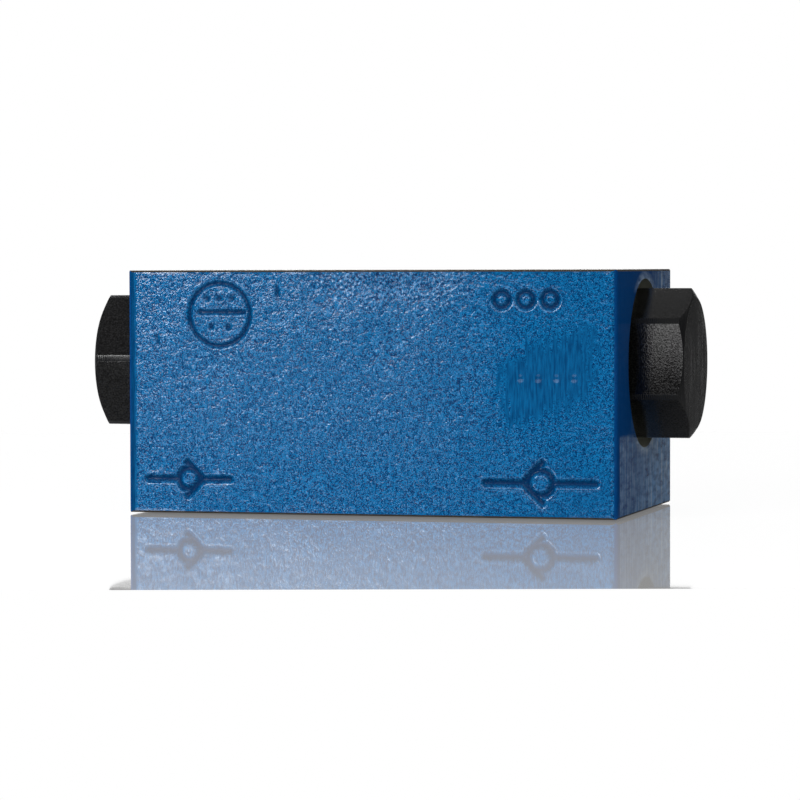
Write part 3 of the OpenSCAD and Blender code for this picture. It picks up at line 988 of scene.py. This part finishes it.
@dataclass
class CastHousing:
    """The block: a copy of the CAD housing whose front and back carry the casting's relief.

    Attributes:
        faces: The two cast faces.
        end_x_mm: Places of the two milled ends along X.
        seat_x_mm: Distance of the plugs' seats from the middle.
        spot_r_mm: Radius within which the spot faces lie.
        side_y_mm: Distance from the middle beyond which the round edges and cast faces lie.
        wall_z_mm: Heights between which the walls are painted, without the chamfers.
        round_mm: Width of a round edge along X, with a little to spare.
        round_share: Slope towards the end from which a round edge gets the end's darker enamel as painted
            shade.
        round_grain: Share of the cast grain on the round edges of the right end.
        round_shade: How dark the painted shade on the round edges of the left end is.
        sharp_deg: Angle from which an edge stays sharp.
        slack_mm: Play in telling where a face lies.
        square: Cosine from which a face looks along an axis.
        upright: Cosine up to which a wall is upright.
        masks: Layers of the mesh that the enamel reads.
    """

    faces: tuple[CastFace, ...] = (
        CastFace(y_mm=-23.0, pitch_mm=0.2, seed=11, marks=FRONT_MARKS, patch=GroundPatch()),
        CastFace(y_mm=23.0, pitch_mm=0.6, seed=29),
    )
    end_x_mm: Point = (-40.35, 42.15)
    seat_x_mm: float = 39.85
    spot_r_mm: float = 14.2
    side_y_mm: float = 21.95
    wall_z_mm: Point = (0.25, 39.75)
    round_mm: float = 1.05
    round_share: float = 0.55
    round_grain: float = 0.5
    round_shade: float = 0.6
    sharp_deg: float = 28.0
    slack_mm: float = 0.05
    square: float = 0.99
    upright: float = 0.2
    masks: tuple[str, ...] = ("cast", "sunk", "ground")

    def build(self, node: Object) -> Object:
        """Makes the piece from the CAD node and hides the node.

        Args:
            node: The CAD housing.

        Returns:
            The piece that stands for it.
        """
        mesh = mesh_of(node)
        for name in self.masks:
            mesh.verts.layers.float.new(name)
        for face in mesh.faces:
            face.material_index = self.finish_of(face)
            face.smooth = True
        for cast in self.faces:
            self.lay(mesh, cast)
        self.grain_and_shade_round_edges(mesh)
        limit = math.radians(self.sharp_deg)
        for edge in mesh.edges:
            soft = all(vertex.tag for vertex in edge.verts)
            edge.smooth = soft or edge.calc_face_angle(0.0) < limit
        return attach(piece_from(mesh, "cast_housing", node), BodyName.HOUSING.value)

    def grain_and_shade_round_edges(self, mesh: Mesh) -> None:
        """Gives the right end's upright round edges the cast grain, and the left end's painted shade."""
        grain, shade = (mesh.verts.layers.float[name] for name in ("cast", "sunk"))
        left, right = self.end_x_mm
        for vertex in mesh.verts:
            if abs(vertex.co.y) / MM > self.side_y_mm - self.slack_mm:
                if vertex.co.x / MM > right - self.round_mm:
                    vertex[grain] = self.round_grain
                elif vertex.co.x / MM < left + self.round_mm:
                    # The left end's round edges get painted shade.
                    vertex[shade] = self.round_shade

    def finish_of(self, face: bmesh.types.BMFace) -> int:
        """Material index of a face of the CAD housing, from where it lies and looks."""
        centre = face.calc_center_median() / MM
        normal = face.normal
        at_end = min(abs(centre.x - end) for end in self.end_x_mm) < self.slack_mm
        if at_end and abs(normal.x) > self.square:
            return HousingFace.MILLED
        in_spot = math.hypot(centre.y, centre.z - AXIS_Z_MM) < self.spot_r_mm
        if in_spot and abs(centre.x) > self.seat_x_mm - self.slack_mm:
            return HousingFace.SPOT
        low, high = self.wall_z_mm
        if abs(normal.z) < self.upright and abs(centre.y) > self.side_y_mm and low < centre.z < high:
            # The half of a round edge that faces the end gets the milled end's darker enamel as painted
            # shade.
            return HousingFace.MILLED if abs(normal.x) > self.round_share else HousingFace.CAST
        return HousingFace.BARE

    def lay(self, mesh: Mesh, cast: CastFace) -> None:
        """Takes out a plain cast face and lays one with relief in its place.

        Args:
            mesh: The housing's mesh.
            cast: The face.
        """
        y = cast.y_mm * MM

        def on_face(item: bmesh.types.BMEdge | bmesh.types.BMFace) -> bool:
            """Whether an edge or a face lies in the plane of the cast face."""
            return all(abs(vertex.co.y - y) < SAME_PLACE for vertex in item.verts)

        plain = [face for face in mesh.faces if on_face(face)]
        corners = np.array([vertex.co for face in plain for vertex in face.verts])
        low, high = corners.min(0) / MM, corners.max(0) / MM
        bmesh.ops.delete(mesh, geom=plain, context="FACES")
        columns, rows = (round((high[i] - low[i]) / cast.pitch_mm) for i in (0, 2))
        rim = [edge for edge in mesh.edges if edge.is_boundary and on_face(edge)]
        for edge in rim:
            level = abs(edge.verts[0].co.z - edge.verts[1].co.z) < SAME_PLACE
            bmesh.ops.bisect_edges(mesh, edges=[edge], cuts=(columns if level else rows) - 1)
        x, z = np.meshgrid(np.linspace(low[0], high[0], columns + 1), np.linspace(low[2], high[2], rows + 1))
        made = cast.relief(x, z)
        layers = [(mesh.verts.layers.float[name], made[name].ravel()) for name in self.masks]
        places = np.stack([x, cast.y_mm + cast.outward * made["height"], z], axis=-1).reshape(-1, 3) * MM
        grid = []
        for i, place in enumerate(places):
            vertex = mesh.verts.new(place)
            vertex.tag = True
            for layer, values in layers:
                vertex[layer] = values[i]
            grid.append(vertex)
        wide = columns + 1
        for row in range(rows):
            for column in range(columns):
                i = row * wide + column
                loop = (grid[i], grid[i + 1], grid[i + wide + 1], grid[i + wide])
                face = mesh.faces.new(loop if cast.outward < 0 else loop[::-1])
                face.smooth = True
                face.material_index = HousingFace.CAST
        border = [v for v in mesh.verts if abs(v.co.y - y) < SAME_PLACE and (v.is_boundary or not v.tag)]
        for vertex in border:
            vertex.tag = False
        bmesh.ops.remove_doubles(mesh, verts=border, dist=2 * SAME_PLACE)

    def dress(self, piece: Object) -> None:
        """Gives the piece its four finishes."""
        for finish in (ENAMEL, MILLED, BARE, SPOT):
            piece.data.materials.append(finish.material())


@dataclass
class ScrewPlug:
    """A hexagon screw plug: a copy of the CAD plug with broken edges and two finishes.

    Attributes:
        side: Its end of the block.
        across_flats: Width of the hexagon.
        edge: Width of a broken edge.
        flat_deg: Angle up to which neighbouring facets are one face.
        sharp_deg: Angle from which an edge is broken.
        slack: Play in telling a flat.
    """

    side: Side
    across_flats: float = 22.0
    edge: float = 0.1
    flat_deg: float = 0.4
    sharp_deg: float = 24.0
    slack: float = 0.02

    def build(self, node: Object) -> Object:
        """Makes the piece from the CAD node and hides the node.

        Args:
            node: The CAD plug.

        Returns:
            The piece that stands for it.
        """
        mesh = mesh_of(node)
        flat, limit = math.radians(self.flat_deg), math.radians(self.sharp_deg)
        bmesh.ops.dissolve_limit(mesh, angle_limit=flat, verts=mesh.verts[:], edges=mesh.edges[:])
        for face in mesh.faces:
            face.smooth = True
            face.material_index = self.finish_of(face)
        sharp = [edge for edge in mesh.edges if edge.calc_face_angle(0.0) > limit]
        bmesh.ops.bevel(
            mesh,
            geom=sharp,
            offset=self.edge * MM,
            segments=2,
            profile=0.5,
            affect="EDGES",
            clamp_overlap=True,
        )
        for edge in mesh.edges:
            edge.smooth = edge.calc_face_angle(0.0) < limit
        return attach(piece_from(mesh, f"{self.side.value}_screw_plug", node), BodyName.HOUSING.value)

    def finish_of(self, face: bmesh.types.BMFace) -> int:
        """Material index of a face: a flat of the bar lies half the width across flats from the axis."""
        centre = face.calc_center_median() / MM - Vector((0, 0, AXIS_Z_MM))
        level = abs(face.normal.x) < self.slack
        on_flat = abs(centre.dot(face.normal) - self.across_flats / 2) < self.slack
        return PlugFace.FLAT if level and on_flat else PlugFace.TURNED

    def dress(self, piece: Object) -> None:
        """Gives the piece its two finishes."""
        for finish in (BAR, TURNING):
            piece.data.materials.append(finish.material())


@dataclass
class ReturnSpring:
    """The spring of one check valve, in two coils that shorten as the poppet and as the pilot ball lifts.

    Attributes:
        side: Its end of the block.
        outer_mm: Distance from the middle to the plug, on which its fixed end rests.
        split_mm: Distance from the middle to the wire's centre where the two coils meet, two and a half
            turns from the plate.
        plate_mm: Distance from the middle within which the wire moves with the plate.
        wire_mm: Thickness of the wire.
        parting: Share of a step of the wire by which each coil ends short of the other.
        ring_cosine: Cosine from which a point lies on the side of the axis where they meet.
        ring_reach: Share of the wire's thickness within which it does.
        travel_mm: Lift of the poppet.
        sharp_deg: Angle from which an edge stays sharp.
    """

    side: Side
    outer_mm: float = 36.4
    split_mm: float = 26.92
    plate_mm: float = 22.9
    wire_mm: float = 1.0
    parting: float = 0.06
    ring_cosine: float = 0.99
    ring_reach: float = 0.6
    travel_mm: float = 2.95
    sharp_deg: float = 50.0

    def on_axis(self, distance_mm: float) -> Triple:
        """The point on the bore's axis at a distance from the middle, in metres."""
        return self.side.outward * distance_mm * MM, 0.0, AXIS_Z_MM * MM

    def build(self, node: Object) -> tuple[Object, Object]:
        """Makes both coils from the CAD node and hides the node.

        Args:
            node: The CAD spring.

        Returns:
            The coil at the plug and the coil at the plate.
        """
        side = self.side.value
        outer = self.coil(node, f"{side}_return_spring_outer", inner=False)
        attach(outer, BodyName.HOUSING.value)
        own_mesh(outer)
        inner = self.coil(node, f"{side}_return_spring_inner", inner=True)
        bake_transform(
            inner,
            f"{side}_poppet_body",
            f"{side}_pilot_body",
            start=self.on_axis(self.split_mm),
            end=self.on_axis(self.plate_mm),
        )
        return outer, inner

    def coil(self, node: Object, name: str, inner: bool) -> Object:
        """Makes one coil, which is the CAD spring up to the ring of points where the two meet.

        Args:
            node: The CAD spring.
            name: Name of the piece.
            inner: Whether it is the coil at the plate.

        Returns:
            The piece, which stands for the node together with the other coil.
        """
        mesh = mesh_of(node)
        ends = sorted(mesh.verts, key=lambda vertex: abs(vertex.co.x))
        first, last = ends[0], ends[-1]
        opposite = Vector((0, -first.co.y, AXIS_Z_MM * MM - first.co.z)).normalized()
        ring = {vertex for vertex in mesh.verts if self.in_ring(vertex.co, opposite)}
        bmesh.ops.split_edges(mesh, edges=[edge for edge in mesh.edges if ring.issuperset(edge.verts)])
        kept, reached = set(), [first if inner else last]
        while reached:
            vertex = reached.pop()
            if vertex not in kept:
                kept.add(vertex)
                reached.extend(edge.other_vert(vertex) for edge in vertex.link_edges)
        bmesh.ops.delete(mesh, geom=[vertex for vertex in mesh.verts if vertex not in kept], context="VERTS")
        rim = [vertex for vertex in mesh.verts if vertex.is_boundary]
        beside = {edge.other_vert(vertex) for vertex in rim for edge in vertex.link_edges} - set(rim)
        here, there = (sum((v.co for v in verts), Vector()) / len(verts) for verts in (rim, beside))
        for vertex in rim:
            vertex.co += (there - here) * self.parting
        bmesh.ops.holes_fill(mesh, edges=[edge for edge in mesh.edges if edge.is_boundary], sides=0)
        bmesh.ops.recalc_face_normals(mesh, faces=mesh.faces[:])
        for face in mesh.faces:
            face.smooth = True
        for edge in mesh.edges:
            edge.smooth = edge.calc_face_angle(0.0) < math.radians(self.sharp_deg)
        return piece_from(mesh, name, node)

    def in_ring(self, place: Vector, opposite: Vector) -> bool:
        """Whether a point of the wire lies in the ring where the two coils meet."""
        away = Vector((0, place.y, place.z - AXIS_Z_MM * MM)).normalized()
        gap_mm = abs(abs(place.x) / MM - self.split_mm)
        return away.dot(opposite) > self.ring_cosine and gap_mm < self.ring_reach * self.wire_mm

    def dress(self, piece: Object) -> None:
        """Gives a coil its finish."""
        piece.data.materials.clear()
        piece.data.materials.append(SPRING_WIRE.material())


@dataclass
class InnerParts:
    """Spool, sleeves, poppets and seals, which keep their CAD shape and only get finishes."""

    finishes: dict[str, Finish] = field(
        default_factory=lambda: {
            SlotName.HARD_STEEL.value: GROUND_STEEL,
            SlotName.SEAL.value: RUBBER,
            SlotName.SPRING_STEEL.value: SPRING_WIRE,
            SlotName.BLACK_STEEL.value: TURNING,
            SlotName.PAINT.value: ENAMEL,
        }
    )

    def dress(self, frame: dict[str, Any]) -> None:
        """Gives every CAD node the finish of its slot.
        """
        for part in frame["record"]["subparts"]:
            data = frame["nodes"][part["node"]].data
            data.materials.clear()
            data.materials.append(self.finishes[part["material_slot"]].material())


@dataclass(frozen=True)
class Softbox:
    """A soft studio lamp that is aimed at the block.

    Attributes:
        name: Name of the lamp.
        azimuth: Degrees from the front towards the right end.
        elevation: Degrees above the board.
        distance: Metres from the block.
        width: Width in metres.
        height: Height in metres.
        radiance: Brightness of its front, where 1 is white.
        shape: Outline of its front.
    """

    name: str
    azimuth: float
    elevation: float
    distance: float
    width: float
    height: float
    radiance: float
    shape: LampShape = LampShape.BOX

    def build(self, target: Vector) -> Object:
        """Makes the lamp.

        Args:
            target: The point that it is aimed at.

        Returns:
            The lamp's object.
        """
        away = from_front(self.azimuth, self.elevation)
        lamp = bpy.data.lights.new(self.name, "AREA")
        lamp.shape = self.shape.value
        lamp.size = self.width
        area = self.width**2 * math.pi / 4
        if self.shape is LampShape.BOX:
            lamp.size_y = self.height
            area = self.width * self.height
        lamp.energy = self.radiance * math.pi * area
        made = put(self.name, lamp)
        aim(made, target + away * self.distance, -away)
        made.visible_camera = False
        return made


@dataclass(frozen=True)
class Studio:
    """Board, backdrop, surroundings and lamps.

    Attributes:
        lamps: The softboxes.
        aim_mm: Height at which they are aimed.
        ambient: Level of the room's plain light.
        flag: What a dark flag at the left end leaves of it.
        flag_x: Directions along X over which the flag ends.
        room: Level of the room in reflections.
        ceiling: What the room's upper part adds to that.
        ceiling_z: Directions along Z over which it comes in.
        backdrop_yaw: Degrees by which the backdrop's middle lies left of the block's back.
        backdrop_deg: Degrees from its middle at which the backdrop ends and is full.
        board_gap: Millimetres that the seal rings hold the block off the board.
        board_half: Metres from the block's middle to the board's left and right edge.
        board_front: Metres from the block's middle to the board's front edge.
        board_back: Metres from the block's middle to the board's back edge.
    """

    lamps: tuple[Softbox, ...] = (
        Softbox("key_softbox", -29.0, 15.3, 0.36, 0.11, 0.085, 9.0),
        Softbox("front_softbox", 4.0, 24.6, 0.9, 1.2, 0.56, 1.8),
        Softbox("spark_lamp", -30.0, 27.0, 0.5, 0.09, 0.09, 16.0, LampShape.ROUND),
        Softbox("back_softbox", -150.0, 20.0, 0.9, 0.7, 0.3, 3.5),
    )
    aim_mm: float = 20.0
    ambient: float = 0.27
    flag: float = 0.4
    flag_x: Point = (-0.8, -0.1)
    room: float = 0.05
    ceiling: float = 0.16
    ceiling_z: Point = (0.3, 0.85)
    backdrop_yaw: float = 15.15
    backdrop_deg: Point = (17.5, 12.0)
    board_gap: float = 0.25
    board_half: float = 6.0
    board_front: float = 0.15
    board_back: float = 0.27

    @property
    def ahead(self) -> Vector:
        """The level direction from the block's front to the backdrop's middle."""
        return -from_front(self.backdrop_yaw, 0.0)

    def build(self) -> None:
        """Makes the stage around the block."""
        scene = bpy.context.scene
        scene.view_settings.view_transform = "Standard"
        scene.world = self.surround()
        for lamp in self.lamps:
            lamp.build(Vector((0, 0, self.aim_mm * MM)))
        self.board()

    def surround(self) -> bpy.types.World:
        """Makes the world: white to the camera, a white backdrop in a darker room to reflections."""
        world = bpy.data.worlds.new("studio")
        world.use_nodes = True
        tree = world.node_tree
        tree.nodes.clear()
        add = partial(add_node, tree)
        path = add("LightPath").outputs
        outward = add("TexCoord").outputs["Generated"]
        parts = add("SeparateXYZ", (outward,)).outputs
        towards = add("VectorMath", (outward, self.ahead), operation="DOT_PRODUCT")
        rim = (math.cos(math.radians(angle)) for angle in self.backdrop_deg)
        reflected = add("MapRange", (towards, *rim))
        plain = add("MapRange", (parts["X"], *self.flag_x, self.ambient * self.flag, self.ambient))
        upper = add("MapRange", (parts["Z"], *self.ceiling_z, self.room, self.room + self.ceiling))
        mirrored = add("Mix", {0: reflected, 2: upper, 3: 1.0}, data_type="FLOAT")
        shiny = add("Math", (path["Is Glossy Ray"], path["Is Transmission Ray"]), operation="MAXIMUM")
        level = add("Mix", {0: shiny, 2: plain, 3: mirrored}, data_type="FLOAT")
        strength = add("Mix", {0: path["Is Camera Ray"], 2: level, 3: 1.0}, data_type="FLOAT")
        back = add("Background", {"Color": (1, 1, 1, 1), "Strength": strength})
        add("OutputWorld", {"Surface": back})
        return world

    def board(self) -> Object:
        """Makes the white board, whose front edge runs across the picture."""
        data = bpy.data.meshes.new("studio_board")
        ahead = self.ahead
        side = Vector((ahead.y, -ahead.x, 0)) * self.board_half
        lift = Vector((0, 0, -self.board_gap * MM))
        front, back = lift - ahead * self.board_front, lift + ahead * self.board_back
        corners = (front - side, front + side, back + side, back - side)
        data.from_pydata([tuple(corner) for corner in corners], [], [(0, 1, 2, 3)])
        data.materials.append(BOARD.material())
        made = put("studio_board", data)
        return made


@dataclass(frozen=True)
class ViewCamera:
    """The camera, at the angle from which the block is shown.

    Attributes:
        place_mm: Its place.
        yaw: Degrees by which it looks left of +Y.
        pitch: Degrees by which it looks down.
        roll: Degrees of turn about its own axis.
        lens_mm: Focal length.
        sensor_mm: Width of the sensor.
        clip_m: Distances between which things are shown.
    """

    place_mm: Triple = (156.21, -576.65, 40.93)
    yaw: float = 15.154
    pitch: float = 2.196
    roll: float = -0.136
    lens_mm: float = 159.31
    sensor_mm: float = 36.0
    clip_m: Point = (0.01, 50.0)

    def build(self) -> Object:
        """Makes the camera and gives it to the scene."""
        data = bpy.data.cameras.new("view_camera")
        data.sensor_width = self.sensor_mm
        data.lens = self.lens_mm
        data.clip_start, data.clip_end = self.clip_m
        made = put("view_camera", data)
        aim(made, Vector(self.place_mm) * MM, -from_front(self.yaw, self.pitch), self.roll)
        bpy.context.scene.camera = made
        return made


def main() -> None:
    """Builds the pieces, the stage and the camera in order."""
    logging.basicConfig(level=logging.INFO, format="%(message)s")
    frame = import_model()
    nodes = frame["nodes"]
    InnerParts().dress(frame)
    LOG.info("finishes on %d CAD nodes", len(nodes))
    housing = CastHousing()
    piece = housing.build(nodes["housing"])
    housing.dress(piece)
    LOG.info("%s: %d faces", piece.name, len(piece.data.polygons))
    for side in Side:
        plug = ScrewPlug(side)
        piece = plug.build(nodes[f"{side.value}_plug"])
        plug.dress(piece)
        LOG.info("%s: %d faces", piece.name, len(piece.data.polygons))
        spring = ReturnSpring(side)
        for piece in spring.build(nodes[f"{side.value}_spring"]):
            spring.dress(piece)
            LOG.info("%s: %d faces", piece.name, len(piece.data.polygons))
    Studio().build()
    ViewCamera().build()
    LOG.info("stage and camera are set")


if __name__ == "__main__":
    main()
